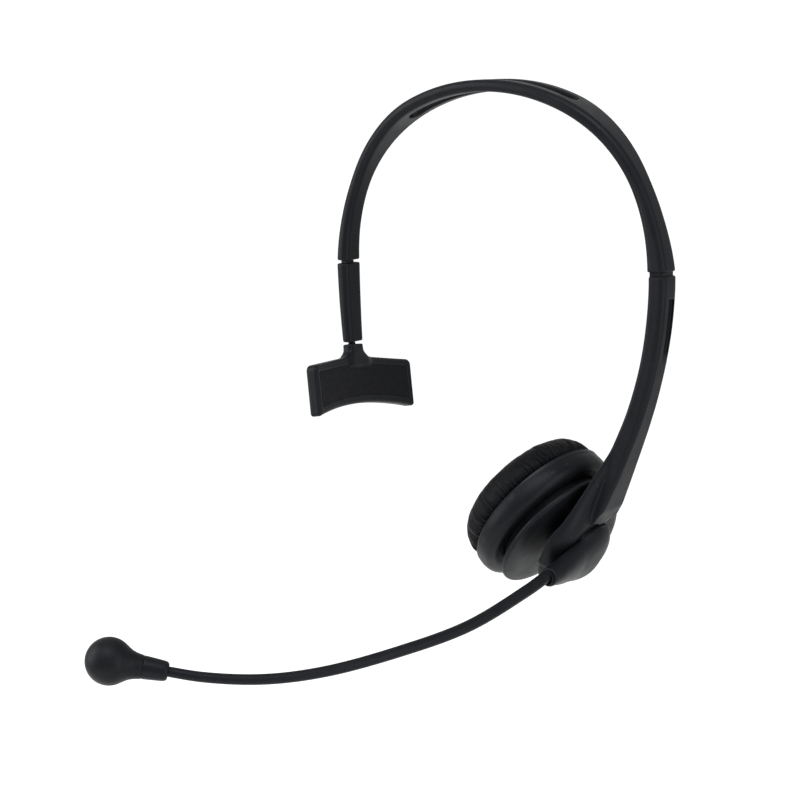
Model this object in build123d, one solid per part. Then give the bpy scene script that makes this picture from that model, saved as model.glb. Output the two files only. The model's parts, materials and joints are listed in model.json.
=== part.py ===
from build123d import *
import os
from math import cos, degrees, radians, sin, tan

# Office headset with one ear cup, a temple bar on the other side and a boom microphone.
# Millimetres. +Z is up, the wearer faces -Y, the ear cup is on +X. The origin is the point
# of the headband's inner surface that rests on the crown of the head.

# ---------------------------------------------------------------- driving dimensions
# The headband's inner surface, from the crown down either side: (length, turn in degrees).
BAND_ARCS = [(28.2, 23.6), (33.6, 40.0), (28.3, 26.0)]
BAND_END = 90.1                 # distance along the inner surface from the crown to an end
# (distance from the crown, + to the ear, width, thickness)
BAND_SECTIONS = [
    (-89.7, 8.4, 4.2), (-76, 7.7, 3.9), (-63, 7.6, 3.8), (-48, 10.2, 3.8), (-31, 14.5, 3.7),
    (-15, 15.3, 3.6), (0, 15.4, 3.5), (15, 15.3, 3.6), (31, 14.5, 3.7), (48, 10.4, 3.9),
    (63, 7.7, 4.1), (76, 7.9, 4.8), (89.7, 8.6, 6.0),
]
BAND_EDGE_RADIUS = 1.4
SLOT_WIDTH = 5.4
SLOT_HALF_LENGTH = 31.0         # to the centres of the slot's round ends
LIP_INSET = 0.4                 # how far a moulding's end steps in round its edge

# The ear arm goes on from the band's end along two more arcs, then runs straight to the hub.
ARM_ARCS = [(49.7, 23.6), (38.7, 5.2)]
ARM_GAP = 1.3                   # neck that shows between the band and the arm
ARM_NECK = (6.9, 5.0)           # width, thickness of that neck
ARM_MIDDLE = 2.5                # from the inner-surface line to the arm's mid-plane
ARM_SECTIONS = [                # (distance from the crown, width, thickness)
    (91.9, 8.6, 6.0), (106, 8.5, 6.1), (120, 8.3, 6.2), (135, 8.4, 6.4), (150, 9.6, 6.7),
    (162, 11.8, 7.1), (172, 14.0, 7.4), (182, 15.5, 7.4),
]
TONGUE = (5.6, 1.2)             # width, thickness of the sliding tongue in the ear arm
TONGUE_ROOT = 10.0              # length held in the band
TONGUE_REACH = 42.0             # length beyond the band's end
SLIDE_CLEARANCE = 0.06
WINDOW = (15.5, 3.6)            # length, width of the index window in the arm's outer face
WINDOW_CENTRE = (106.0, 1.3)    # distance from the crown, offset towards the back

# The temple sleeve on the other side, and the swivelling bar below it.
SLEEVE_ARCS = [(27.8, 3.6)]
SLEEVE_GAP = 1.0
SLEEVE_SECTIONS = [(91.6, 8.5, 4.3), (104, 8.2, 4.2), (117.4, 7.5, 4.0)]
SLEEVE_END = 117.9
SLEEVE_TONGUE = (4.2, 2.0)
SLEEVE_TONGUE_ROOT = 8.0
SLEEVE_TONGUE_REACH = 20.0
NECK_PIN_RADIUS = 1.2
NECK_PIN_DEPTH = 5.0
NECK_GAP = 1.2
BAR_SWIVEL, BAR_TILT, BAR_LEAN = 4.6, 8.2, -4.5
BAR_HALF_LENGTH = 28.3
BAR_THICKNESS = 4.0
BAR_TOP = 7.5                   # below the sleeve's end
BAR_SHOULDER = 5.4
BAR_HEIGHT = 16.1
BAR_HOLLOW = 3.0                # rise of the concave bottom edge
BAR_BEND_RADIUS = 182.0
PAD_MARGIN = 2.6
PAD_DEPTH = 1.0
PAD_PROUD = 0.25

# The hub at the arm's lower end. Its axis N points away from the head.
HUB_AFTER_ARM = 5.0             # from the end of the arm's arcs to the hub's centre
HUB_RADIUS = 17.8
HUB_RISE = 1.5                  # from the turret's axis up to the middle of the hub's outer shape
HUB_INNER = -4.0                # the face towards the head, along N
HUB_SEAT = 1.8                  # the face that the boom turret turns on
HUB_CAVITY_RADIUS = 14.0
HUB_FLOOR = -0.4
SEAT_HOLE_RADIUS = 8.05
HUB_COVER_BOSS = -0.3           # top of the boss that holds the ball stud, along N
COVER_SCREW_CIRCLE = 12.0
COVER_THICKNESS = 1.4

# The ball joint and the ear cup.
BALL_DROP = 7.47                # ball centre from the hub's centre, towards the head
BALL_RADIUS = 4.0
BALL_CLEARANCE = 0.05
STUD_RADIUS = 1.7
DISH_RADIUS = 6.4               # hollow in the hub's cover round the ball
LINER_THICKNESS = 0.7
CUP_TILT = 39.2                 # the cup's axis below the horizontal
CUP_SWIVEL = 4.1
CUP_DEPTH = 13.5                # from the cushion's back to the ball's centre
RIM_RADIUS = 25.0
RIM_LEVELS = (1.2, 6.6)         # outward from the cushion's back: the clip ring's top, the rim's top
SEAM_RADIUS = 18.8
DOME_LEVEL = 9.6                # where the seam ends and the domed back begins
DOME_RADIUS = 22.0
CUP_BORE = 17.6                 # inside radius of the rim, the seam ring and the clip ring
CUSHION_RING = 16.6
CUSHION_TUBE = 7.8
CUSHION_SINK = 2.6
POST_CIRCLE = 15.3
DRIVER_RADIUS = 12.4
MAGNET_RADIUS = 6.0
GRILLE_RADIUS = 6.8
GLAND_LEVEL, GLAND_RADIUS, GLAND_BORE = 3.9, 2.2, 1.5
BOARD_DOWN = 10.4               # from the cup's axis to the terminal board's middle

# The boom turret, the boom and the microphone.
TURRET_RADIUS = 10.3
TURRET_TOP = 5.7
TURRET_LIFT = 0.15              # running gap over the seat
BARREL_LEVEL = 4.9
BARREL_RADIUS = 2.9
BARREL_LENGTH = 25.5
BARREL_DROP = (1.0, 2.3)        # below the turret's axis at its root and at its mouth
# (part of the barrel's length, half width, half depth, level of its middle along N)
BARREL_SECTIONS = [
    (0.06, 8.6, 3.3, 2.5), (0.45, 5.6, 3.7, 3.4), (0.80, 3.5, 3.1, 4.6),
    (1.0, BARREL_RADIUS, BARREL_RADIUS, BARREL_LEVEL),
]
PIVOT_INNER = 6.6               # the turret's pivot ring, held by a clip in a groove
CLIP_GROOVE = (7.3, -1.25, -0.45)   # radius of the groove's floor, its two sides along N
CLIP_RADIUS = 9.4
BOOM_ROOT_RADIUS, BOOM_TIP_RADIUS = 2.1, 1.35
BOOM_ROUTE = [
    (34.4, -16.5, -148.5), (34.1, -25.3, -148.9), (33.0, -34.6, -151.7), (27.2, -58.7, -158.2),
    (18.3, -81.4, -161.5), (6.5, -102.1, -164.4), (-4.2, -116.4, -164.8), (-15.8, -129.0, -162.9),
    (-25.4, -137.6, -160.1),
]
BOOM_BENDS = (0.40, 0.72)       # where the two bend joints are, as parts of the boom's length
BEND_GAP = 0.25
CORE_RADIUS = 0.5
MIC_CENTRE = (-36.5, -146.3, -157.0)
MIC_RADIUS = 6.75
MIC_CUT = -4.2                  # where the windscreen meets the collar, along the microphone's axis
MIC_TAIL = -17.4                # the collar's end
CAPSULE_RADIUS = 3.0


# ---------------------------------------------------------------- helpers
def save(name, shape):
    export_step(Part(children=list(shape.solids())) if len(shape.solids()) > 1 else shape.solid(),
                "parts/" + name + ".step")


def walk(arcs, distance):
    """Point (x, z) and turn in degrees at a distance along tangent arcs that start level."""
    x, z, turn = 0.0, 0.0, 0.0
    left = distance
    for length, bend in arcs:
        step = min(left, length)
        rate = radians(bend) / length
        start = radians(turn)
        stop = start + rate * step
        x += (sin(stop) - sin(start)) / rate
        z += (cos(stop) - cos(start)) / rate
        turn = degrees(stop)
        left -= step
        if left <= 0:
            break
    end = radians(turn)
    if left > 0:
        x += left * cos(end)
        z -= left * sin(end)
    return x, z, turn


def station(arcs, distance, offset=0.0):
    """Plane across the line: local x is outward, z runs along it from temple to ear."""
    x, z, turn = walk(arcs, abs(distance))
    if distance < 0:
        x, turn = -x, -turn
    out = Vector(sin(radians(turn)), 0, cos(radians(turn)))
    along = Vector(cos(radians(turn)), 0, -sin(radians(turn)))
    return Plane(origin=Vector(x, 0, z) + out * offset, x_dir=out, z_dir=along)


def bar_section(plane, width, thickness, radius):
    return plane * Pos(thickness / 2, 0) * RectangleRounded(thickness, width, radius)


def outline(corners):
    """Face from (x, y, radius) corners; a corner with a radius is rounded by an arc."""
    edges = []
    count = len(corners)
    ends = []
    for i, (x, y, radius) in enumerate(corners):
        here = Vector(x, y)
        before = Vector(*corners[i - 1][:2])
        after = Vector(*corners[(i + 1) % count][:2])
        if radius <= 0:
            ends.append((here, here))
            continue
        back = (before - here).normalized()
        ahead = (after - here).normalized()
        half = radians(back.get_angle(ahead)) / 2
        reach = radius / tan(half)
        first, last = here + back * reach, here + ahead * reach
        middle = here + (back + ahead).normalized() * (radius / sin(half) - radius)
        edges.append(ThreePointArc(first, middle, last))
        ends.append((first, last))
    for i in range(count):
        start, stop = ends[i][1], ends[(i + 1) % count][0]
        if (stop - start).length > 1e-6:
            edges.append(Line(start, stop))
    return make_face(edges)


def turned(plane, corners):
    """Solid of revolution about the plane's normal, from (radius, height, rounding) corners."""
    face = Plane.XZ * outline(corners)
    return plane * revolve(face, Axis.Z)


def disc(plane, radius, low, high):
    on_end = (Align.CENTER, Align.CENTER, Align.MIN)
    return plane * Pos(0, 0, low) * Cylinder(radius, high - low, align=on_end)


def ring(plane, inner, outer, low, high):
    return disc(plane, outer, low, high) - disc(plane, inner, low - 1, high + 1)


def arc_slab(centre, radius, thickness, width, first, last):
    """Part of a hoop about a Y axis through centre; angles run down from +X, in degrees."""
    low, high = radius, radius + thickness
    spots = []
    for r, a in ((low, first), (low, (first + last) / 2), (low, last), (high, last),
                 (high, (first + last) / 2), (high, first)):
        spots.append(Vector(centre.X + r * cos(radians(a)), -width / 2, centre.Z - r * sin(radians(a))))
    face = make_face([ThreePointArc(spots[0], spots[1], spots[2]), Line(spots[2], spots[3]),
                      ThreePointArc(spots[3], spots[4], spots[5]), Line(spots[5], spots[0])])
    return extrude(face, amount=width, dir=(0, 1, 0))


# ---------------------------------------------------------------- shared frames
ear_arcs = BAND_ARCS + ARM_ARCS
temple_arcs = BAND_ARCS + SLEEVE_ARCS
band_turn = sum(bend for _, bend in BAND_ARCS)

arm_length, arm_bend = ARM_ARCS[0]
slide_radius = arm_length / radians(arm_bend)
band_end = station(ear_arcs, BAND_END)
slide_centre = band_end.origin - band_end.x_dir * slide_radius
slide_start = band_turn - 90    # angle of the band's end about the slide's centre, below +X

hub_s = BAND_END + sum(length for length, _ in ARM_ARCS) + HUB_AFTER_ARM
hub_cross = station(ear_arcs, hub_s, ARM_MIDDLE)
hub = Plane(origin=hub_cross.origin, x_dir=hub_cross.z_dir, z_dir=hub_cross.x_dir)

ball_centre = hub.origin - hub.z_dir * BALL_DROP
cup_out = Vector(cos(radians(CUP_TILT)) * cos(radians(CUP_SWIVEL)), -sin(radians(CUP_SWIVEL)),
                 -sin(radians(CUP_TILT)) * cos(radians(CUP_SWIVEL)))
cup_down = Vector(-sin(radians(CUP_TILT)), 0, -cos(radians(CUP_TILT)))
cup = Plane(origin=ball_centre - cup_out * CUP_DEPTH, x_dir=cup_down, z_dir=cup_out)
ball = Plane(origin=ball_centre, x_dir=cup_down, z_dir=cup_out)

sleeve_foot = station(temple_arcs, -SLEEVE_END, SLEEVE_SECTIONS[-1][2] / 2)
neck = Plane(origin=sleeve_foot.origin, x_dir=sleeve_foot.x_dir, z_dir=sleeve_foot.z_dir)
bar_in = Vector(1, 0, 0).rotate(Axis.X, BAR_LEAN).rotate(Axis.Z, BAR_SWIVEL).rotate(Axis.Y, -BAR_TILT)
bar_up = Vector(0, 0, 1).rotate(Axis.X, BAR_LEAN).rotate(Axis.Z, BAR_SWIVEL).rotate(Axis.Y, -BAR_TILT)
bar = Plane(origin=neck.origin, x_dir=bar_in, z_dir=bar_up)


# ---------------------------------------------------------------- headband
def make_tongue():
    """Stiff nylon strip, curved like the arm, that the ear arm slides on."""
    first = slide_start - degrees(TONGUE_ROOT / slide_radius)
    last = slide_start + degrees(TONGUE_REACH / slide_radius)
    width, thickness = TONGUE
    middle = slide_radius + ARM_MIDDLE
    return arc_slab(slide_centre, middle - thickness / 2, thickness, width, first, last)


def make_sleeve_tongue():
    width, thickness = SLEEVE_TONGUE
    end = station(temple_arcs, -BAND_END, SLEEVE_SECTIONS[0][2] / 2)
    length = SLEEVE_TONGUE_ROOT + SLEEVE_TONGUE_REACH
    shift = (SLEEVE_TONGUE_ROOT - SLEEVE_TONGUE_REACH) / 2
    return end * Pos(0, 0, shift) * Box(thickness, width, length)


def across(place):
    """The same place with its z axis turned outward."""
    return Plane(origin=place.origin, x_dir=place.z_dir, z_dir=place.x_dir)


def make_rivets():
    """One rivet through each tongue's root."""
    ear = across(station(ear_arcs, BAND_END - TONGUE_ROOT / 2))
    temple = across(station(temple_arcs, SLEEVE_TONGUE_ROOT / 2 - BAND_END))
    return [ear * Pos(0, 0, 2.4) * Cylinder(1.1, 3.4), temple * Pos(0, 0, 2.1) * Cylinder(0.8, 2.8)]


def make_headband(inserts):
    sections = [bar_section(station(BAND_ARCS, s), w, t, BAND_EDGE_RADIUS) for s, w, t in BAND_SECTIONS]
    body = loft(sections)
    for sign in (-1, 1):
        s, width, thickness = BAND_SECTIONS[0 if sign < 0 else -1]
        low, high = s, sign * BAND_END
        wide = bar_section(station(BAND_ARCS, low), width, thickness, BAND_EDGE_RADIUS)
        slim = station(BAND_ARCS, high) * Pos(thickness / 2, 0) * RectangleRounded(
            thickness - 2 * LIP_INSET, width - 2 * LIP_INSET, BAND_EDGE_RADIUS - LIP_INSET)
        body += loft([wide, slim] if sign > 0 else [slim, wide], ruled=True)
    neck_width, neck_thickness = ARM_NECK
    end = station(ear_arcs, BAND_END, BAND_SECTIONS[-1][2] / 2)
    body += end * Pos(0, 0, ARM_GAP / 2) * Box(neck_thickness, neck_width, ARM_GAP)
    cutters = [station(BAND_ARCS, s) * Pos(2, 0) * Rectangle(9, SLOT_WIDTH)
               for s in (-SLOT_HALF_LENGTH, -20, -10, 0, 10, 20, SLOT_HALF_LENGTH)]
    body -= loft(cutters)
    for s in (-SLOT_HALF_LENGTH, SLOT_HALF_LENGTH):
        body -= across(station(BAND_ARCS, s)) * Cylinder(SLOT_WIDTH / 2, 16)
    for insert in inserts:
        body -= insert
    return body


# ---------------------------------------------------------------- ear arm
def make_arm_shell():
    raised_hub = Plane(origin=hub.origin - hub.x_dir * HUB_RISE, x_dir=hub.x_dir, z_dir=hub.z_dir)
    sections = [station(ear_arcs, s, ARM_MIDDLE) * RectangleRounded(t, w, min(1.6, t / 2 - 0.3))
                for s, w, t in ARM_SECTIONS]
    body = loft(sections)
    top_s, top_width, top_thickness = ARM_SECTIONS[0]
    lip = station(ear_arcs, BAND_END + ARM_GAP, ARM_MIDDLE) * RectangleRounded(
        top_thickness - 2 * LIP_INSET, top_width - 2 * LIP_INSET, 1.2)
    top = station(ear_arcs, top_s, ARM_MIDDLE) * RectangleRounded(top_thickness, top_width, 1.6)
    body += loft([lip, top], ruled=True)
    body += turned(raised_hub, [
        (0, HUB_INNER, 0), (HUB_RADIUS - 0.4, HUB_INNER, 0.4), (HUB_RADIUS, HUB_INNER + 1, 1),
        (16.2, -0.2, 3), (12.6, HUB_SEAT, 1), (0, HUB_SEAT, 0)])
    # The turret's seat, with a scooped step up to the arm's outer face.
    body -= turned(hub, [(0, HUB_SEAT, 0), (11.6, HUB_SEAT, 0), (13.0, HUB_SEAT + 0.9, 1.5),
                         (19.5, HUB_SEAT + 3.2, 0), (19.5, 14, 0), (0, 14, 0)])
    body -= disc(hub, HUB_CAVITY_RADIUS, HUB_INNER - 2, HUB_FLOOR)
    body -= disc(hub, SEAT_HOLE_RADIUS, HUB_FLOOR - 1, HUB_SEAT + 1)
    for spot in cover_screw_spots():
        depth = HUB_FLOOR - HUB_INNER - COVER_THICKNESS
        boss = hub * spot * Pos(0, 0, HUB_FLOOR) * Cylinder(1.7, 2 * depth)
        body += boss - disc(hub, HUB_RADIUS, HUB_FLOOR + 0.5, 10)
    # Pocket for the tongue, and the window that shows it.
    width, thickness = TONGUE
    middle = slide_radius + ARM_MIDDLE
    first = slide_start + degrees((ARM_GAP - 1) / slide_radius)
    last = slide_start + degrees((TONGUE_REACH + 2) / slide_radius)
    body -= arc_slab(slide_centre, middle - thickness / 2 - SLIDE_CLEARANCE, thickness + 2 * SLIDE_CLEARANCE,
                     width + 2 * SLIDE_CLEARANCE, first, last)
    length, across = WINDOW
    spot = station(ear_arcs, WINDOW_CENTRE[0], ARM_MIDDLE)
    body -= spot * Pos(2, WINDOW_CENTRE[1] * spot.y_dir.Y, 0) * Box(4, across, length)
    body -= make_detent_spring(0.05)
    for screw in make_cover_screws():
        body -= screw
    return body


def make_detent_spring(extra=0.0):
    """Leaf that presses the tongue outward inside the arm."""
    middle = slide_radius + ARM_MIDDLE - TONGUE[1] / 2 - SLIDE_CLEARANCE
    first = slide_start + degrees(12 / slide_radius)
    last = slide_start + degrees(20 / slide_radius)
    return arc_slab(slide_centre, middle - 0.6, 0.55 + extra, 4.0, first, last)


def cover_screw_spots():
    turns = [radians(a) for a in (60, 180, 300)]
    return [Pos(COVER_SCREW_CIRCLE * cos(a), COVER_SCREW_CIRCLE * sin(a)) for a in turns]


def make_hub_cover():
    """Plate that closes the hub's inner side and carries the ball stud."""
    body = disc(hub, HUB_CAVITY_RADIUS - 0.05, HUB_INNER, HUB_INNER + COVER_THICKNESS)
    body += disc(hub, 6.0, HUB_INNER + COVER_THICKNESS, HUB_COVER_BOSS)
    body -= hub * Pos(0, 0, -BALL_DROP) * Sphere(DISH_RADIUS)
    body -= disc(hub, STUD_RADIUS, -6, 2)
    for screw in make_cover_screws():
        body -= screw
    return body


def make_cover_screws():
    """Countersunk screws, flush with the cover, that bite into the hub's floor."""
    screws = []
    for spot in cover_screw_spots():
        head = hub * spot * Pos(0, 0, HUB_INNER + 0.3) * Cylinder(1.4, 0.6)
        screws.append(head + hub * spot * Pos(0, 0, HUB_INNER + 2.4) * Cylinder(0.7, 3.6))
    return screws


def make_ball_stud():
    """Ball on a stem that is riveted over on the cover's far side."""
    body = hub * Pos(0, 0, -BALL_DROP) * Sphere(BALL_RADIUS)
    body += disc(hub, STUD_RADIUS, -BALL_DROP + 2, HUB_COVER_BOSS)
    body += disc(hub, STUD_RADIUS + 1.2, HUB_COVER_BOSS, HUB_COVER_BOSS + 0.7)
    return body


# ---------------------------------------------------------------- ball liner and ear cup
def shell_band(inner, outer, low_angle, high_angle):
    """Spherical shell about the ball, between two angles from the cup's axis."""
    low, high = radians(low_angle), radians(high_angle)
    middle = (low + high) / 2
    points = []
    corners = ((inner, low), (inner, middle), (inner, high), (outer, high), (outer, middle), (outer, low))
    for r, a in corners:
        points.append(Vector(r * sin(a), 0, r * cos(a)))
    face = make_face([ThreePointArc(points[0], points[1], points[2]), Line(points[2], points[3]),
                      ThreePointArc(points[3], points[4], points[5]), Line(points[5], points[0])])
    return ball * revolve(face, Axis.Z)


def make_ball_liner():
    inside = BALL_RADIUS + BALL_CLEARANCE
    return shell_band(inside, inside + LINER_THICKNESS, 50, 128)


def post_spots():
    return [(POST_CIRCLE * cos(radians(a)), POST_CIRCLE * sin(radians(a))) for a in (30, 150, 270)]


def make_back_shell():
    """Domed back of the ear cup, with the ball's socket in its middle."""
    socket = BALL_RADIUS + 2 * BALL_CLEARANCE + LINER_THICKNESS
    outside = [(CUP_BORE, DOME_LEVEL, 0), (DOME_RADIUS - 0.8, DOME_LEVEL, 0.6), (DOME_RADIUS, 11.2, 1.4),
               (19.6, 12.3, 2.0), (11.5, 13.2, 6.0), (5.6, 13.6, 0), (5.6, 15.0, 0.4), (0, 15.0, 0)]
    inside = [(0, 9.0, 0), (7.2, 9.0, 0.8), (7.2, 11.8, 0), (11.0, 11.6, 2.0), (16.4, 11.1, 0.6),
              (CUP_BORE, 10.4, 0)]
    body = turned(cup, outside + inside)
    body -= ball * Sphere(socket)
    mouth = Cone(0.01, 12 * tan(radians(52)), 12, align=(Align.CENTER, Align.CENTER, Align.MIN))
    body -= ball * mouth
    for spot in post_spots():
        post = cup * Pos(*spot) * Pos(0, 0, 6.7) * Cylinder(1.9, 9.8)
        body += post
    body += cup * Pos(BOARD_DOWN, 0, 10.6) * Cylinder(1.4, 3.0)
    return body


def make_front_ring():
    """Rim of the ear cup, between the cushion and the seam."""
    low, high = RIM_LEVELS
    inside = CUP_BORE - 0.05
    body = turned(cup, [(inside, low, 0), (RIM_RADIUS - 0.3, low, 0), (RIM_RADIUS, 4.2, 3.0),
                        (23.6, high, 1.2), (inside, high, 0)])
    body -= cup * Pos(0, 21, GLAND_LEVEL) * Rot(90, 0, 0) * Cylinder(GLAND_RADIUS, 12)
    return body


def make_cable_gland():
    """Rubber bush for the lead, in the rim's rear wall; the lead itself is not part of the model."""
    sideways = cup * Pos(0, CUP_BORE - 0.05, GLAND_LEVEL) * Rot(-90, 0, 0)
    on_end = (Align.CENTER, Align.CENTER, Align.MIN)
    body = sideways * Cylinder(GLAND_RADIUS, 8.0, align=on_end)
    body += sideways * Pos(0, 0, 8.0) * Cone(GLAND_RADIUS, 1.9, 3.0, align=on_end)
    body -= sideways * Pos(0, 0, -1) * Cylinder(GLAND_BORE, 14, align=on_end)
    return body


def make_baffle():
    body = disc(cup, CUP_BORE - 0.1, 0.2, 1.8)
    body -= disc(cup, GRILLE_RADIUS, -1, 3)
    return body


def make_cup_screws():
    screws = []
    for spot in post_spots():
        here = cup * Pos(*spot)
        head = here * Pos(0, 0, 0.55) * Cylinder(1.4, 0.7)
        screws.append(head + here * Pos(0, 0, 3.4) * Cylinder(0.8, 5.2))
    return screws


def make_driver():
    inside = DRIVER_RADIUS - 1.2
    frame = ring(cup, inside, DRIVER_RADIUS, 1.8, 3.4) + ring(cup, MAGNET_RADIUS, DRIVER_RADIUS, 3.4, 4.2)
    diaphragm = turned(cup, [(0, 1.9, 0), (5.0, 2.5, 0), (inside, 2.2, 0),
                             (inside, 2.6, 0), (5.0, 2.9, 0), (0, 2.3, 0)])
    magnet = disc(cup, MAGNET_RADIUS, 3.4, 7.2)
    return frame, diaphragm, magnet


def make_grille():
    body = disc(cup, GRILLE_RADIUS, -0.4, 0.8)
    for count, circle in ((1, 0.0), (6, 2.4), (12, 4.8)):
        for i in range(count):
            a = radians(360 * i / count)
            body -= cup * Pos(circle * cos(a), circle * sin(a)) * Cylinder(0.6, 6)
    return body


def make_cushion():
    """Plain ring of the ear cushion, flat where it sits on the clip ring."""
    tube = cup * Pos(0, 0, -CUSHION_SINK) * Torus(CUSHION_RING, CUSHION_TUBE)
    return tube - disc(cup, 40, 0, 20)


# ---------------------------------------------------------------- turret and boom
def make_turret_base():
    low = HUB_SEAT + TURRET_LIFT
    floor, groove_low, groove_high = CLIP_GROOVE
    body = disc(hub, TURRET_RADIUS - 0.05, low, 3.0)
    body += ring(hub, PIVOT_INNER, SEAT_HOLE_RADIUS - 0.05, -1.5, low)
    body -= ring(hub, floor, 9, groove_low, groove_high)
    return body


def barrel_frame():
    root, mouth = BARREL_DROP
    start = hub.from_local_coords(Vector(root, 0, BARREL_LEVEL))
    end = hub.from_local_coords(Vector(mouth, -BARREL_LENGTH, BARREL_LEVEL))
    return start, end


def make_turret_cap(base, sleeve):
    body = turned(hub, [(0, HUB_SEAT + TURRET_LIFT, 0), (TURRET_RADIUS, HUB_SEAT + TURRET_LIFT, 0),
                        (TURRET_RADIUS, 3.0, 0.8), (8.4, 4.2, 2.0), (5.2, TURRET_TOP - 0.5, 4.0),
                        (3.0, TURRET_TOP, 3.0), (0, TURRET_TOP, 0)])
    start, end = barrel_frame()
    along = (end - start).normalized()
    ribs = []
    for part, half_wide, half_deep, level in BARREL_SECTIONS:
        spot = start + (end - start) * part + hub.z_dir * (level - BARREL_LEVEL)
        ribs.append(Plane(origin=spot, x_dir=hub.z_dir, z_dir=along) * Ellipse(half_deep, half_wide))
    body += loft(ribs)
    body -= disc(hub, 60, -20, HUB_SEAT + TURRET_LIFT)
    body -= base
    body -= sleeve
    return body


def make_boom():
    """Sleeve and core of the boom, each in three lengths that meet at the bend joints."""
    route = Spline(*BOOM_ROUTE)
    total = route.length
    marks = [0.0, BOOM_BENDS[0] * total, BOOM_BENDS[1] * total, total]
    sleeves, cores, joints = [], [], []

    def at(s):
        point = route.position_at(s, position_mode=PositionMode.LENGTH)
        along = route.tangent_at(s, position_mode=PositionMode.LENGTH)
        return Plane(origin=point, x_dir=along.cross(Vector(0, 0, 1)).normalized(), z_dir=along)

    def nose(first, first_radius, last, last_radius):
        return loft([first * Circle(first_radius), last * Circle(last_radius)], ruled=True)

    def radius(s):
        return BOOM_ROOT_RADIUS + (BOOM_TIP_RADIUS - BOOM_ROOT_RADIUS) * s / total

    for i in range(3):
        low = marks[i] + (BEND_GAP if i > 0 else 0)
        high = marks[i + 1] - (BEND_GAP if i < 2 else 0)
        body_low = low + (1.0 if i > 0 else 0)
        body_high = high - (1.0 if i < 2 else 0)
        steps = [body_low + (body_high - body_low) * k / 6 for k in range(7)]
        body = loft([at(s) * Circle(radius(s)) for s in steps])
        if i > 0:
            body += nose(at(low), radius(low) / 2, at(body_low), radius(body_low))
        if i < 2:
            body += nose(at(body_high), radius(body_high), at(high), radius(high) / 2)
        core = loft([at(low + (high - low) * k / 7) * Circle(CORE_RADIUS) for k in range(8)])
        sleeves.append(body - core)
        cores.append(core)
    for s in marks[1:3]:
        joints.append(at(s))
    return sleeves, cores, joints, at(total)


def make_mic(tip):
    axis = (Vector(*MIC_CENTRE) - tip.origin).normalized()
    mic = Plane(origin=Vector(*MIC_CENTRE), x_dir=axis.cross(Vector(0, 0, 1)).normalized(), z_dir=axis)
    body = turned(mic, [(0, MIC_TAIL, 0), (2.5, MIC_TAIL, 0.5), (2.9, -13.5, 3.0), (3.9, -9.2, 0.5),
                        (4.6, -7.0, 1.0), (4.6, MIC_CUT, 0), (0, MIC_CUT, 0)])
    screen = mic * Sphere(MIC_RADIUS) - disc(mic, 20, -20, MIC_CUT)
    capsule = disc(mic, CAPSULE_RADIUS, -3.0, 0.6)
    screen -= capsule
    grommet = ring(mic, 1.4, 2.5, MIC_TAIL - 1, MIC_TAIL)
    return body, screen, capsule, grommet


# ---------------------------------------------------------------- temple side
def make_sleeve(tongue):
    sections = [station(temple_arcs, -s, t / 2) * RectangleRounded(t, w, 1.3) for s, w, t in SLEEVE_SECTIONS]
    body = loft(list(reversed(sections)))
    ends = ((SLEEVE_SECTIONS[0], BAND_END + SLEEVE_GAP), (SLEEVE_SECTIONS[-1], SLEEVE_END))
    for (s, width, thickness), end in ends:
        wide = station(temple_arcs, -s, thickness / 2) * RectangleRounded(thickness, width, 1.3)
        slim = station(temple_arcs, -end, thickness / 2) * RectangleRounded(
            thickness - 2 * LIP_INSET, width - 2 * LIP_INSET, 0.9)
        body += loft([wide, slim] if end < s else [slim, wide], ruled=True)
    width, thickness = SLEEVE_TONGUE
    top = station(temple_arcs, -BAND_END, SLEEVE_SECTIONS[0][2] / 2)
    reach = SLEEVE_TONGUE_REACH + 0.5
    room = 2 * SLIDE_CLEARANCE
    body -= top * Pos(0, 0, -reach / 2) * Box(thickness + room, width + room, reach)
    hole = Cylinder(NECK_PIN_RADIUS + 0.05, NECK_PIN_DEPTH + 1.2)
    body -= neck * Pos(0, 0, (NECK_PIN_DEPTH + 0.2) / 2 - 0.5) * hole
    return body


def curved_slab(inner_offset, outer_offset):
    """Slab bent about an upright axis on the head's side; offsets are from the bar's mid-surface."""
    middle = BAR_BEND_RADIUS
    hoop = Cylinder(middle - inner_offset, 60) - Cylinder(middle - outer_offset, 80)
    return bar * Pos(BAR_BEND_RADIUS, 0, -15) * hoop


def bar_outline(margin):
    half = BAR_HALF_LENGTH - margin
    top, low = BAR_TOP + margin, BAR_TOP + BAR_HEIGHT - margin
    shoulder = BAR_SHOULDER + margin
    side = [Line((-half, -top), (-half, -low)), Line((half, -low), (half, -top)),
            ThreePointArc((-half, -low), (0, -low + BAR_HOLLOW), (half, -low)),
            Line((-half, -top), (0, -shoulder)), Line((0, -shoulder), (half, -top))]
    return make_face(side)


def make_bar():
    """T-shaped bar that rests above the ear, with the pin it swivels on."""
    upright = Plane(origin=bar.origin, x_dir=bar.y_dir, z_dir=bar.x_dir)
    plate = extrude(upright * fillet(bar_outline(0).vertices(), 1.4), amount=12, both=True)
    body = plate & curved_slab(-BAR_THICKNESS / 2, BAR_THICKNESS / 2)
    root = bar * Pos(0, 0, -NECK_GAP) * RectangleRounded(3.8, 7.2, 1.4)
    waist = bar * Pos(0.1, 0, -3.6) * RectangleRounded(3.8, 7.8, 1.4)
    foot = bar * Pos(0.1, 0, -BAR_SHOULDER - 1.2) * RectangleRounded(3.9, 14.0, 1.4)
    body += loft([root, waist, foot])
    body += neck * Pos(0, 0, NECK_PIN_DEPTH / 2 - 1.2) * Cylinder(NECK_PIN_RADIUS, NECK_PIN_DEPTH + 0.9)
    return body


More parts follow.
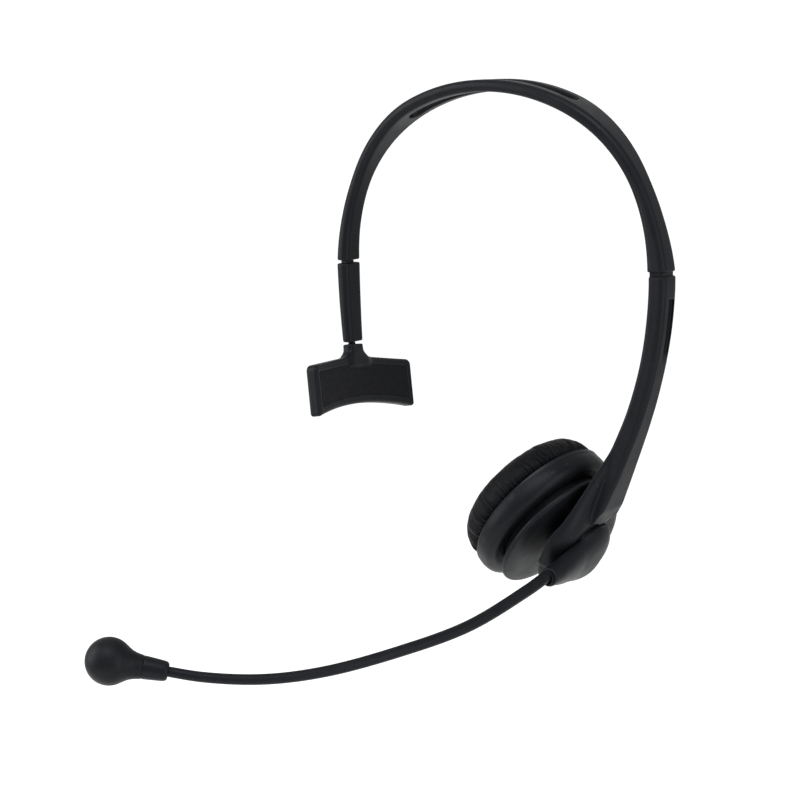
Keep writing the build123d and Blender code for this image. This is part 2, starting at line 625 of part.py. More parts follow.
def make_bar_pad():
    upright = Plane(origin=bar.origin, x_dir=bar.y_dir, z_dir=bar.x_dir)
    face = bar_outline(PAD_MARGIN)
    plate = extrude(upright * fillet(face.vertices(), 0.8), amount=12, both=True)
    return plate & curved_slab(BAR_THICKNESS / 2 - PAD_DEPTH, BAR_THICKNESS / 2 + PAD_PROUD)


# ---------------------------------------------------------------- build and write every part
os.makedirs("parts", exist_ok=True)

tongue = make_tongue()
sleeve_tongue = make_sleeve_tongue()
rivets = make_rivets()
for rivet in rivets:
    tongue -= rivet
    sleeve_tongue -= rivet
save("ear_side_tongue", tongue)
save("temple_side_tongue", sleeve_tongue)
save("tongue_rivets", Compound(rivets))
save("headband", make_headband([tongue, sleeve_tongue] + rivets))

save("ear_arm_shell", make_arm_shell())
save("slide_detent_spring", make_detent_spring())
save("hub_cover", make_hub_cover())
save("hub_cover_screws", Compound(make_cover_screws()))
save("ball_stud", make_ball_stud())
save("ball_liner", make_ball_liner())

cup_screws = make_cup_screws()
back_shell = make_back_shell()
baffle = make_baffle()
for screw in cup_screws:
    back_shell -= screw
    baffle -= screw
grille = make_grille()
save("cup_back_shell", back_shell)
save("cup_seam_ring", ring(cup, CUP_BORE, SEAM_RADIUS, RIM_LEVELS[1], DOME_LEVEL))
save("cup_front_ring", make_front_ring())
save("cable_gland", make_cable_gland())
save("baffle_plate", baffle - grille)
save("cup_screws", Compound(cup_screws))
driver_frame, diaphragm, magnet = make_driver()
save("driver_frame", driver_frame)
save("driver_diaphragm", diaphragm)
save("driver_magnet", magnet)
save("speaker_grille", grille)
save("speaker_cloth", disc(cup, GRILLE_RADIUS - 0.2, -0.9, -0.4))
save("terminal_board", cup * Pos(BOARD_DOWN, 0, 8.6) * Box(4.6, 9.0, 1.0))
save("cushion_clip_ring", ring(cup, CUP_BORE, RIM_RADIUS - 0.3, 0.0, RIM_LEVELS[0]))
save("ear_cushion", make_cushion())

sleeves, cores, bends, tip = make_boom()
turret_base = make_turret_base()
save("turret_base", turret_base)
groove_floor, groove_low, groove_high = CLIP_GROOVE
save("turret_clip", ring(hub, groove_floor, CLIP_RADIUS, groove_low + 0.05, groove_high - 0.05))
save("turret_washer", ring(hub, 8.6, TURRET_RADIUS - 0.5, HUB_SEAT, HUB_SEAT + 0.1))
save("turret_cap", make_turret_cap(turret_base, sleeves[0] + cores[0]))
for name, sleeve, core in zip(("root", "middle", "tip"), sleeves, cores):
    save("boom_sleeve_" + name, sleeve)
    save("boom_core_" + name, core)
mic_body, windscreen, capsule, grommet = make_mic(tip)
save("mic_body", mic_body - sleeves[2] - cores[2])
save("mic_windscreen", windscreen)
save("mic_capsule", capsule)
save("mic_grommet", grommet - sleeves[2])

save("temple_sleeve", make_sleeve(sleeve_tongue))
bar_pad = make_bar_pad()
save("temple_bar", make_bar() - bar_pad)
save("temple_bar_pad", bar_pad)


# Places and directions of the joints.
def show(label, vector):
    print(label, round(vector.X, 2), round(vector.Y, 2), round(vector.Z, 2))


show("slide centre", slide_centre)
show("hub centre", hub.origin)
show("hub axis", hub.z_dir)
show("hub down", hub.x_dir)
show("ball centre", ball_centre)
show("cup origin", cup.origin)
show("cup axis", cup.z_dir)
show("cup down", cup.x_dir)
show("neck", neck.origin)
show("neck axis", neck.z_dir)
for i, bend in enumerate(bends):
    show("bend %d" % i, bend.origin)
    show("bend %d along" % i, bend.z_dir)
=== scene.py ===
import json
from math import cos, pi, radians, sin

import bmesh
import bpy
import numpy as np
import openvdb
from mathutils import Matrix, Vector, noise


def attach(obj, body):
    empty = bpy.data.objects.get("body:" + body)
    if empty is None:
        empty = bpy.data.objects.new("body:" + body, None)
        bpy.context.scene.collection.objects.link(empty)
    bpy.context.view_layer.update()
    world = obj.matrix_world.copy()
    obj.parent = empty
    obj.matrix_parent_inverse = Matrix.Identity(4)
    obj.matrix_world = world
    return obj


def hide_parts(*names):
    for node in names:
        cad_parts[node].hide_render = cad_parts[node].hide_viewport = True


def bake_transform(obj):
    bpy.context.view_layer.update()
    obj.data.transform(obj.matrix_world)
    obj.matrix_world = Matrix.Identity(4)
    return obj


# The office headset's looks. Metres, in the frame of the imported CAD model: +Z up, the wearer
# faces -Y, the ear cup on +X, the origin at the crown of the head.
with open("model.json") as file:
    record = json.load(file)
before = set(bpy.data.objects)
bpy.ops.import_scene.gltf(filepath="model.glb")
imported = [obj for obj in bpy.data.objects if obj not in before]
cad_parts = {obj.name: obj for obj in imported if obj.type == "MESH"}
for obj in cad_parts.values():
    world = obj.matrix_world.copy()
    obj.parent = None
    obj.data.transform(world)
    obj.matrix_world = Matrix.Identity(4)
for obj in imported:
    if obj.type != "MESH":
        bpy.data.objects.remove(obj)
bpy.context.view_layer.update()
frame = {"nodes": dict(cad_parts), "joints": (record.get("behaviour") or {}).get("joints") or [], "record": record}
nodes = frame["nodes"]
joints = {joint["name"]: joint for joint in frame["joints"]}
mounts = {mount["name"]: mount for mount in frame["record"]["mounts"]}
MM = 0.001


# ---------------------------------------------------------------- materials
class Look:
    """A material under construction: a Principled shader and short ways to add nodes to it."""

    def __init__(self, name, **settings):
        self.material = bpy.data.materials.new(name)
        self.material.use_nodes = True
        self.tree = self.material.node_tree
        self.shader = self.tree.nodes["Principled BSDF"]
        for socket, value in settings.items():
            self.shader.inputs[socket.replace("_", " ")].default_value = value
        self.place = self.add("ShaderNodeTexCoord").outputs["Object"]

    def add(self, kind, **settings):
        node = self.tree.nodes.new(kind)
        for key, value in settings.items():
            if hasattr(node, key):
                setattr(node, key, value)
            else:
                node.inputs[key.replace("_", " ")].default_value = value
        return node

    def link(self, out, into):
        self.tree.links.new(out, into)
        return out

    def noise(self, scale, detail=3.0, place=None):
        node = self.add("ShaderNodeTexNoise", Scale=scale, Detail=detail, Roughness=0.55)
        self.link(place or self.place, node.inputs["Vector"])
        return node.outputs["Fac"]

    def cells(self, scale, feature="F1"):
        node = self.add("ShaderNodeTexVoronoi", Scale=scale)
        node.feature = feature
        self.link(self.place, node.inputs["Vector"])
        return node.outputs["Distance"]

    def ramp(self, value, low, high, start=0.0, stop=1.0):
        """Maps low..high to start..stop, and holds the ends."""
        node = self.add("ShaderNodeMapRange")
        for socket, number in zip(("From Min", "From Max", "To Min", "To Max"), (low, high, start, stop)):
            node.inputs[socket].default_value = number
        self.link(value, node.inputs["Value"])
        return node.outputs["Result"]

    def mix(self, value, first, second):
        node = self.add("ShaderNodeMix", data_type="RGBA")
        self.link(value, node.inputs["Factor"])
        for socket, colour in ((node.inputs[6], first), (node.inputs[7], second)):
            if isinstance(colour, tuple):
                socket.default_value = (*colour, 1.0)
            else:
                self.link(colour, socket)
        return node.outputs[2]

    def sum(self, first, second, share=1.0):
        """The first value plus a share of the second."""
        node = self.add("ShaderNodeMath", operation="MULTIPLY_ADD")
        self.link(second, node.inputs[0])
        node.inputs[1].default_value = share
        self.link(first, node.inputs[2])
        return node.outputs[0]

    def bump(self, height, distance, strength=1.0):
        node = self.add("ShaderNodeBump", Distance=distance, Strength=strength)
        self.link(height, node.inputs["Height"])
        self.link(node.outputs["Normal"], self.shader.inputs["Normal"])

    def convex(self, low, high):
        """0 to 1 as the surface's pointiness goes from low (hollow) to high (an edge)."""
        return self.ramp(self.add("ShaderNodeNewGeometry").outputs["Pointiness"], low, high)


COOL = (0.86, 0.93, 1.0, 1.0)   # the studio's slightly blue reflections on black
GLOSS = 0.055                   # specular level of the plastics and rubbers


def scaled(colour, factor):
    return tuple(c * factor for c in colour)


def moulded_plastic(name, colour, edge_highlight, rough=0.42, grain=0.5):
    """Moulded ABS: a fine spark-eroded grain, faint flow marks and edges rubbed smoother, with a painted highlight
    that lightens the edges' colour.
    """
    look = Look(name, Roughness=rough, Specular_IOR_Level=GLOSS, Specular_Tint=COOL)
    flow = look.noise(90, 2.0)
    # edge mask: smoother roughness for real rubbing, and a painted highlight in the colour
    edge_wear_and_highlight = look.convex(0.52, 0.60)
    base = look.mix(look.ramp(flow, 0.35, 0.65), colour, scaled(colour, 1.25))
    # painted highlight: the edges' colour goes towards the lighter highlight colour
    look.link(look.mix(edge_wear_and_highlight, base, edge_highlight), look.shader.inputs["Base Color"])
    patch = look.ramp(look.noise(140, 3.0), 0.3, 0.7, rough - 0.05, rough + 0.07)
    smoother = look.sum(patch, edge_wear_and_highlight, -0.08)
    look.link(smoother, look.shader.inputs["Roughness"])
    fine = look.cells(2600)
    look.bump(look.sum(fine, look.noise(5200, 2.0), 0.6), 0.00002, grain)
    return look.material


def soft_rubber(name, colour, rough=0.62):
    """Matt rubber: faint blotches and a very fine unevenness."""
    look = Look(name, Roughness=rough, Specular_IOR_Level=GLOSS, Specular_Tint=COOL)
    blotch = look.ramp(look.noise(300, 4.0), 0.3, 0.7)
    look.link(look.mix(blotch, colour, scaled(colour, 1.5)), look.shader.inputs["Base Color"])
    patch = look.ramp(look.noise(700, 3.0), 0.3, 0.7, rough - 0.08, rough + 0.08)
    look.link(patch, look.shader.inputs["Roughness"])
    look.bump(look.noise(3800, 2.0), 0.00003, 0.6)
    return look.material


def leatherette(name):
    """Soft protein leather: a pebbled grain, fine creases, and painted shade that darkens its folds."""
    look = Look(name, Roughness=0.5, Specular_IOR_Level=0.032, Specular_Tint=COOL)
    blotch = look.ramp(look.noise(260, 3.0), 0.3, 0.7)
    tone = look.mix(blotch, (0.0014, 0.0014, 0.0017), (0.0028, 0.0028, 0.0032))
    # painted shade: the colour goes almost black in hollows and folds
    clear_of_fold_shade = look.convex(0.44, 0.52)
    look.link(look.mix(clear_of_fold_shade, (0.0003, 0.0003, 0.0004), tone), look.shader.inputs["Base Color"])
    look.link(look.ramp(look.noise(420, 4.0), 0.3, 0.7, 0.42, 0.60), look.shader.inputs["Roughness"])
    pebble = look.ramp(look.cells(1500), 0.0, 0.7, 1.0, 0.0)
    fine_crease = look.ramp(look.cells(620, "DISTANCE_TO_EDGE"), 0.0, 0.12)
    look.bump(look.sum(pebble, fine_crease, 0.6), 0.00006, 0.7)
    return look.material


def metal(name, colour, rough=0.32):
    """Drawn metal with fine lines along one direction."""
    look = Look(name, Metallic=1.0, Roughness=rough)
    streak = look.add("ShaderNodeMapping")
    streak.inputs["Scale"].default_value = (1.0, 1.0, 14.0)
    look.link(look.place, streak.inputs["Vector"])
    lines = look.noise(900, 3.0, place=streak.outputs["Vector"])
    look.link(look.mix(lines, scaled(colour, 0.8), colour), look.shader.inputs["Base Color"])
    look.link(look.ramp(lines, 0.3, 0.7, rough - 0.08, rough + 0.1), look.shader.inputs["Roughness"])
    look.bump(lines, 0.00001, 0.4)
    return look.material


def woven(name, colour):
    """Thin cloth: two crossed sets of threads."""
    look = Look(name, Roughness=0.9, Sheen_Weight=0.3, Sheen_Roughness=0.5)
    threads = []
    for direction in ("X", "Y"):
        wave = look.add("ShaderNodeTexWave", Scale=420.0, Distortion=0.3, bands_direction=direction)
        look.link(look.place, wave.inputs["Vector"])
        threads.append(wave.outputs["Fac"])
    height = look.sum(*threads)
    look.link(look.mix(height, scaled(colour, 0.5), colour), look.shader.inputs["Base Color"])
    look.bump(height, 0.00008, 0.8)
    return look.material


BLACK = (0.0022, 0.0024, 0.0029)
# painted highlight colour for the edges of the black plastic
EDGE_HIGHLIGHT = (0.0045, 0.0048, 0.0056)
# in each moulded plastic the second colour is the painted highlight on its edges
looks = {
    "black_plastic": moulded_plastic("black_plastic", BLACK, EDGE_HIGHLIGHT),
    "nylon": moulded_plastic("nylon", (0.004, 0.004, 0.0045), (0.008, 0.008, 0.009), 0.5, 0.3),
    "steel": metal("steel", (0.55, 0.55, 0.56)),
    "dark_rubber": soft_rubber("dark_rubber", (0.0014, 0.0014, 0.0016)),
    "ferrite": metal("ferrite", (0.06, 0.06, 0.065), 0.6),
    "film": moulded_plastic("film", (0.30, 0.27, 0.20), (0.4, 0.36, 0.3), 0.3, 0.1),
    "cloth": woven("cloth", (0.012, 0.012, 0.013)),
    "board": moulded_plastic("board", (0.01, 0.12, 0.05), (0.02, 0.2, 0.09), 0.35, 0.1),
    "leatherette": leatherette("leatherette"),
    "boom_sleeve": soft_rubber("boom_sleeve", BLACK, 0.45),
    "windscreen": moulded_plastic("windscreen", (0.0022, 0.0023, 0.0027), (0.0045, 0.0045, 0.005),
                                  0.46, 0.8),
}


def coat(piece, name):
    """Gives a piece its material; the materials are named as the record's slots."""
    piece.data.materials.clear()
    piece.data.materials.append(looks[name])


for part in frame["record"]["subparts"]:
    coat(nodes[part["node"]], part["material_slot"])


# ---------------------------------------------------------------- stage, lights and camera
def make_camera():
    """A viewpoint in front, on the wearer's left and about level with the crown."""
    camera = bpy.data.objects.new("camera", bpy.data.cameras.new("camera"))
    bpy.context.scene.collection.objects.link(camera)
    azimuth, elevation, roll = radians(36.41), radians(8.51), radians(-1.44)
    distance = 744.4 * MM
    target = Vector((-39.45, 0, -102.0)) * MM
    back = Vector((sin(azimuth) * cos(elevation), -cos(azimuth) * cos(elevation), sin(elevation)))
    side = Vector((cos(azimuth), sin(azimuth), 0))
    up = back.cross(side)
    right = side * cos(roll) + up * sin(roll)
    over = up * cos(roll) - side * sin(roll)
    turn = Matrix((right, over, back)).transposed().to_4x4()
    camera.matrix_world = Matrix.Translation(target + back * distance) @ turn
    camera.data.sensor_width = 36.0
    camera.data.lens = 100.5
    camera.data.clip_start = 0.01
    bpy.context.scene.camera = camera


def make_light(name, place, size, energy):
    """A rectangular lamp that points at the middle of the headset."""
    light = bpy.data.lights.new(name, "AREA")
    light.shape = "RECTANGLE"
    light.size, light.size_y = size
    light.energy = energy
    lamp = bpy.data.objects.new(name, light)
    bpy.context.scene.collection.objects.link(lamp)
    lamp.location = place
    lamp.rotation_mode = "QUATERNION"
    target = Vector((0.0, -0.03, -0.09))
    lamp.rotation_quaternion = (target - Vector(place)).to_track_quat("-Z", "Y")


def make_stage():
    """A plain pale floor, well below the headset, and an even white sky."""
    world = bpy.data.worlds.new("studio")
    world.use_nodes = True
    sky = world.node_tree.nodes["Background"]
    sky.inputs["Color"].default_value = (1.0, 1.0, 1.0, 1.0)
    sky.inputs["Strength"].default_value = 1.1
    bpy.context.scene.world = world
    mesh = bpy.data.meshes.new("floor")
    size, level = 6.0, -0.60
    corners = [(x * size, y * size, level) for x, y in ((-1, -1), (1, -1), (1, 1), (-1, 1))]
    mesh.from_pydata(corners, [], [(0, 1, 2, 3)])
    floor = bpy.data.objects.new("floor", mesh)
    bpy.context.scene.collection.objects.link(floor)
    white = Look("paper", Roughness=0.9, Specular_IOR_Level=0.0)
    tint = white.noise(2.0)
    white.link(white.mix(tint, (0.94, 0.94, 0.94), (0.96, 0.96, 0.96)), white.shader.inputs["Base Color"])
    mesh.materials.append(white.material)


make_camera()
make_stage()
make_light("key", (0.25, -0.55, 0.75), (0.7, 0.5), 16)
make_light("left", (-0.72, -0.62, 0.20), (0.5, 0.9), 16)
make_light("right", (0.85, -0.15, -0.05), (0.4, 0.9), 8)
make_light("under", (0.10, -0.45, -0.55), (0.8, 0.5), 3)
bpy.context.scene.view_settings.view_transform = "Standard"


# ---------------------------------------------------------------- shape helpers
def local_frame(origin, x, z):
    """Matrix of a frame with the given x and z directions; y completes it."""
    x, z = Vector(x).normalized(), Vector(z).normalized()
    return Matrix.Translation(origin) @ Matrix((x, z.cross(x), z)).transposed().to_4x4()


def add_piece(name, verts, faces, look, body, place=None):
    """A mesh object from points in a local frame, riding on a CAD body (or on none)."""
    mesh = bpy.data.meshes.new(name)
    if place is not None:
        verts = [place @ Vector(v) for v in verts]
    mesh.from_pydata([tuple(v) for v in verts], [], faces)
    mesh.validate()
    piece = bpy.data.objects.new(name, mesh)
    bpy.context.scene.collection.objects.link(piece)
    tidy = bmesh.new()
    tidy.from_mesh(mesh)
    bmesh.ops.remove_doubles(tidy, verts=tidy.verts, dist=1e-7)
    bmesh.ops.recalc_face_normals(tidy, faces=tidy.faces)
    tidy.to_mesh(mesh)
    tidy.free()
    for face in mesh.polygons:
        face.use_smooth = True
    coat(piece, look)
    if body:
        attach(piece, body)
    return piece


def grid_faces(rings, around, closed=False):
    """Quads between rings of points, which run ring after ring; closed joins the last ring to the first."""
    faces = []
    for i in range(rings if closed else rings - 1):
        here, there = i * around, (i + 1) % rings * around
        for k in range(around):
            ahead = (k + 1) % around
            faces.append((here + k, here + ahead, there + ahead, there + k))
    return faces


def lathe(name, place, profile, look, body, around=96, closed=False):
    """Turned piece about the local z axis from (radius, height) points in millimetres."""
    verts = [(r * MM * cos(2 * pi * k / around), r * MM * sin(2 * pi * k / around), z * MM)
             for r, z in profile for k in range(around)]
    return add_piece(name, verts, grid_faces(len(profile), around, closed), look, body, place)


def rounded(corners, steps=5):
    """Points along an outline of (x, y, radius) corners, with a curve at each corner that has a radius."""
    points = []
    for i, (x, y, radius) in enumerate(corners):
        if radius <= 0:
            points.append((x, y))
            continue
        here = Vector((x, y))
        back = Vector(corners[i - 1][:2]) - here
        ahead = Vector(corners[(i + 1) % len(corners)][:2]) - here
        reach = min(radius, 0.48 * back.length, 0.48 * ahead.length)
        first, last = here + back.normalized() * reach, here + ahead.normalized() * reach
        for k in range(steps + 1):
            t = k / steps
            spot = first * (1 - t) ** 2 + here * 2 * t * (1 - t) + last * t * t
            points.append((spot.x, spot.y))
    return points


def smooth_route(points, per_span=14):
    """Points along a smooth curve through the given ones (a centripetal spline)."""
    spots = [Vector(p) for p in points]
    ends = [spots[0] * 2 - spots[1]] + spots + [spots[-1] * 2 - spots[-2]]
    route = []
    for i in range(1, len(ends) - 2):
        p0, p1, p2, p3 = ends[i - 1:i + 3]
        t0, t1 = 0.0, (p1 - p0).length ** 0.5
        t2 = t1 + (p2 - p1).length ** 0.5
        t3 = t2 + (p3 - p2).length ** 0.5
        for k in range(per_span):
            t = t1 + (t2 - t1) * k / per_span
            a1 = p0 * ((t1 - t) / (t1 - t0)) + p1 * ((t - t0) / (t1 - t0))
            a2 = p1 * ((t2 - t) / (t2 - t1)) + p2 * ((t - t1) / (t2 - t1))
            a3 = p2 * ((t3 - t) / (t3 - t2)) + p3 * ((t - t2) / (t3 - t2))
            b1 = a1 * ((t2 - t) / (t2 - t0)) + a2 * ((t - t0) / (t2 - t0))
            b2 = a2 * ((t3 - t) / (t3 - t1)) + a3 * ((t - t1) / (t3 - t1))
            route.append(b1 * ((t2 - t) / (t2 - t1)) + b2 * ((t - t1) / (t2 - t1)))
    route.append(spots[-1])
    return route


def tube(name, route, radii, look, body, around=32):
    """Round piece along a route, open at its ends; radii has one radius for each point."""
    verts = []
    side = (route[1] - route[0]).cross(Vector((0, 0, 1))).normalized()
    for i, spot in enumerate(route):
        along = (route[min(i + 1, len(route) - 1)] - route[max(i - 1, 0)]).normalized()
        side = (side - along * side.dot(along)).normalized()
        up = along.cross(side)
        for k in range(around):
            angle = 2 * pi * k / around
            verts.append(spot + (side * cos(angle) + up * sin(angle)) * radii[i])
    return add_piece(name, verts, grid_faces(len(route), around), look, body)


# ---------------------------------------------------------------- frames of the moving parts
hub_axis = Vector(joints["boom_turn"]["axis"])
hub_down = Vector((hub_axis.z, 0, -hub_axis.x))
hub = local_frame(Vector(joints["boom_turn"]["pos_m"]), hub_down, hub_axis)

CUP_DEPTH = 13.5 * MM           # from the cushion's back to the ball's centre
CUP_SAG = 0.6 * MM              # how far the cup's middle hangs below the ball's centre
cup_down = Vector(joints["cup_swivel"]["axis"])
cup_out = cup_down.cross(Vector(mounts["cable_inlet"]["axis"])).normalized()
ball_centre = Vector(joints["cup_swivel"]["pos_m"])
cup = local_frame(ball_centre - cup_out * CUP_DEPTH + cup_down * CUP_SAG, cup_down, cup_out)


def grid_step(fine):
    return fine


def field_piece(name, low, high, step, field, look, body, bend):
    """Turns a field into a mesh; bend takes (n, 3) field points to metres in the model's frame."""
    axes = [np.arange(a, b + step, step) for a, b in zip(low, high)]
    grid = openvdb.FloatGrid(background=3 * step)
    values = np.clip(field(*np.meshgrid(*axes, indexing="ij", sparse=True)), -3 * step, 3 * step)
    grid.copyFromArray(np.ascontiguousarray(values, dtype=np.float32))
    points, quads = grid.convertToQuads()
    points = bend(np.array(low) + points.astype(float) * step)
    return add_piece(name, points, quads.tolist(), look, body)


def merge(first, second, blend):
    """The union of two fields, with a fillet of about the given size."""
    share = np.clip(0.5 + 0.5 * (second - first) / blend, 0, 1)
    return second * (1 - share) + first * share - blend * share * (1 - share)


def cut(first, second, blend=0.3):
    """The first field without the second, with a small radius where they meet."""
    return -merge(-first, second, blend)


def keep(first, second, blend=0.3):
    """The part of the first field that lies inside the second."""
    return -merge(-first, -second, blend)


def round_corner(a, b, radius):
    """Both fields together, with a radius at the corner where their surfaces cross."""
    a, b = a + radius, b + radius
    return np.hypot(np.maximum(a, 0), np.maximum(b, 0)) + np.minimum(np.maximum(a, b), 0) - radius


def rounded_bar(a, b, half_a, half_b, radius):
    """Field of a bar with rounded corners, from its two cross-section coordinates."""
    return round_corner(abs(a) - half_a, abs(b) - half_b, radius)


def even(values, step):
    """Scales a field so that it grows by one millimetre per millimetre near its surface."""
    slopes = np.gradient(values, step)
    return values / np.maximum(np.sqrt(sum(slope * slope for slope in slopes)), 1e-3)


# ---------------------------------------------------------------- the line that band, arm and sleeve follow
# The inner surface, from the crown outward: (length, turn in degrees), as in the CAD model.
BAND_LINE = [(28.2, 23.6), (33.6, 40.0), (28.3, 26.0)]
EAR_LINE = BAND_LINE + [(49.7, 23.6), (38.7, 5.2)]
TEMPLE_LINE = BAND_LINE + [(27.8, 3.6)]
BAND_END = 90.1


def on_line(line):
    """A function that takes (distance, level, across) points to the model's frame, round the line's arcs.
    Distances on the temple's side are negative."""
    def bend(points):
        placed = np.zeros_like(points)
        x, z, turn, at = 0.0, 0.0, 0.0, 0.0
        distance, level = abs(points[:, 0]), points[:, 1]
        for length, bent in line + [(200.0, 0.0)]:
            here = distance >= at
            rate = max(radians(bent) / length, 1e-9)
            angle = turn + rate * (distance[here] - at)
            placed[here, 0] = x + (np.sin(angle) - sin(turn)) / rate + level[here] * np.sin(angle)
            placed[here, 2] = z + (np.cos(angle) - cos(turn)) / rate + level[here] * np.cos(angle)
            last = turn + rate * length
            x, z = x + (sin(last) - sin(turn)) / rate, z + (cos(last) - cos(turn)) / rate
            at, turn = at + length, last
        placed[:, 0] *= np.where(points[:, 0] < 0, -1, 1)
        placed[:, 1] = points[:, 2]
        return placed * MM
    return bend


# ---------------------------------------------------------------- headband and temple sleeve
BAND_SHAPE = np.array([         # distance, + to the ear; width, thickness
    (-90.1, 8.8, 4.6), (-76, 8.0, 4.2), (-63, 7.6, 4.1), (-48, 10.2, 4.2), (-31, 14.5, 4.1),
    (-15, 15.3, 4.0), (0, 15.4, 3.9), (15, 15.3, 4.1), (31, 14.5, 4.3), (48, 10.4, 4.4),
    (63, 7.7, 4.45), (76, 7.9, 5.05), (90.1, 8.6, 6.6),
])
BAND_INSET = 0.62               # how far the band's soft inner face swells towards the head
SLEEVE_SHAPE = np.array([       # distance towards the temple; width, thickness
    (91.1, 8.9, 4.6), (104, 8.6, 4.4), (117.6, 8.0, 4.1),
])
SLEEVE_INSET = 0.6
SLEEVE_ROOM = (110.6, 2.15, 2.16, 1.06)     # the tongue's room: its end, level, half width, half depth
SLOT = (-31.0, 28.0, 2.7)       # the centres of its round ends, half width
NECK = (6.9, 5.0)               # width, thickness of the neck between the band and the arm


def smooth_shape(s, shape, column):
    """A section's size at a distance, eased between the stations."""
    even_steps = np.linspace(shape[0, 0], shape[-1, 0], 400)
    sizes = np.interp(even_steps, shape[:, 0], shape[:, column])
    window = np.hanning(41)
    padded = np.pad(sizes, 20, mode="reflect", reflect_type="odd")
    return np.interp(s, even_steps, np.convolve(padded, window / window.sum(), mode="valid"))


def band_field(s, n, y):
    """Lens-shaped band with its slot; the ends step in a little, and the ear end has the arm's neck."""
    width, thick = (smooth_shape(s, BAND_SHAPE, k) for k in (1, 2))
    level = n - thick / 2 + BAND_INSET
    half_thick = thick / 2 - 0.06 * (2 * y / width) ** 2
    lens = rounded_bar(y, level, width / 2, half_thick, np.minimum(thick / 2 - 0.15, 1.95))
    body = keep(lens, abs(s) - BAND_END + 0 * lens, 0.55)
    first, last, wide = SLOT
    slot = np.hypot(np.maximum(np.maximum(s - last, first - s), 0), y) - wide
    body = cut(body, slot + 0 * body, 0.5)
    neck = rounded_bar(y, level, NECK[0] / 2, NECK[1] / 2, 0.8 + 0 * s)
    neck = np.maximum(neck, np.maximum(s - BAND_END - 2.4, BAND_END - 3 - s))
    return np.minimum(body, neck)


def sleeve_field(s, n, y):
    """Short moulded sleeve with the room for its tongue."""
    away = -s
    width, thick = (np.interp(away, SLEEVE_SHAPE[:, 0], SLEEVE_SHAPE[:, k]) for k in (1, 2))
    body = rounded_bar(y, n - thick / 2 + SLEEVE_INSET, width / 2, thick / 2, 1.95 + 0 * s)
    ends = np.maximum(SLEEVE_SHAPE[0, 0] - away, away - SLEEVE_SHAPE[-1, 0])
    body = keep(body, ends + 0 * body, 0.6)
    room_end, level, half_width, half_depth = SLEEVE_ROOM
    room = rounded_bar(y, n - level, half_width, half_depth, 0.1 + 0 * s)
    return cut(body, np.maximum(room, away - room_end), 0.1)


def make_band():
    step = grid_step(0.28)
    band = field_piece("headband_skin", (-91.0, -1.6, -8.6), (93.4, 7.0, 8.6), step, band_field,
                       "black_plastic", "headband", on_line(EAR_LINE))
    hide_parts("headband")
    sleeve = field_piece("temple_sleeve_skin", (-118.8, -1.4, -5.0), (-90.2, 5.2, 5.0), step, sleeve_field,
                         "black_plastic", "temple_arm", on_line(TEMPLE_LINE))
    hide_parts("temple_sleeve")


# ---------------------------------------------------------------- ear arm
ARM_MIDDLE = 2.5                # from the line to the arm's mid-plane
ARM_TOP = 91.4                  # distance along the line to the arm's upper end
HUB_AT = 183.5                  # distance along the line to the hub's centre
ARM_SHAPE = np.array([          # distance, width, thickness
    (91.4, 8.6, 6.4), (106, 8.6, 6.3), (120, 8.4, 6.2), (135, 8.6, 6.4),
    (150, 9.8, 7.0), (162, 11.8, 7.5), (172, 13.8, 7.9), (186, 15.2, 7.8),
])
ARM_STAND = ((95, 125), (0.3, 0.0))         # distance; how far the arm's upper part stands out
ARM_EDGE = ((-60, -20), (1.9, 1.2))         # distance from the hub; radius of the ridge's edges
SKIRT_SHAPE = np.array([        # distance from the hub's centre, half width, height over the floor
    (-50, 2.0, 2.4), (-40, 3.2, 3.2), (-34, 5.6, 3.6), (-28, 8.0, 4.0), (-20, 11.2, 4.5),
    (-12, 14.2, 5.0), (-6, 16.4, 5.4), (6, 16.4, 5.6),
])
SKIRT_MIDDLE, SKIRT_REACH = -22, 26         # along the arm, from the hub's centre
SKIRT_FOOT = ((-44, -20), (-2.6, -4.0))     # distance from the hub; level of the skirt's lower edge
FLOOR = 4                       # the hub's lower face lies this far under the arm's mid-plane
HUB_RADIUS, HUB_RISE, HUB_SHIFT = 17.8, 6.3, 1.5    # the shift is up the arm, from the pivot
HUB_CAVITY = (14, -0.4)         # radius, level of its roof: room under the hub for its cover
HUB_BORE = (8.05, -2)           # radius, level of its lower end: room for the turret's pivot
TONGUE_ROOM = (0.68, 2.9, 135)  # half depth, half width, where it ends along the line
CUP_ROOM = ((-44, -24, -10, -4), (-2.6, -3.0, -3.2, -4.4))  # the lower face over the tilting cup
WINDOW = (98.2, 113.8, 1.3, 1.8)    # its ends along the line, its middle and half width across
WINDOW_FLOOR = 1.9
SEAT = 1.8                      # level of the face that the turret turns on
TURRET_RADIUS = 10.3
WALL = ((TURRET_RADIUS + 0.25, TURRET_RADIUS + 0.9, 14.5, 18.0, 22.0),     # radius from the hub's centre,
        (SEAT, 2.9, 3.3, 4.05, 5.5))        # and the level of the scoop round the turret
SCOOP_REACH = 21
SWING = ((8.0, 20.0, 32.0), (0.0, 1.8, 3.2))    # degrees from its middle; room for the turret's barrel
SWING_MIDDLE = -3.0             # degrees from the arm's direction, minus is to the front


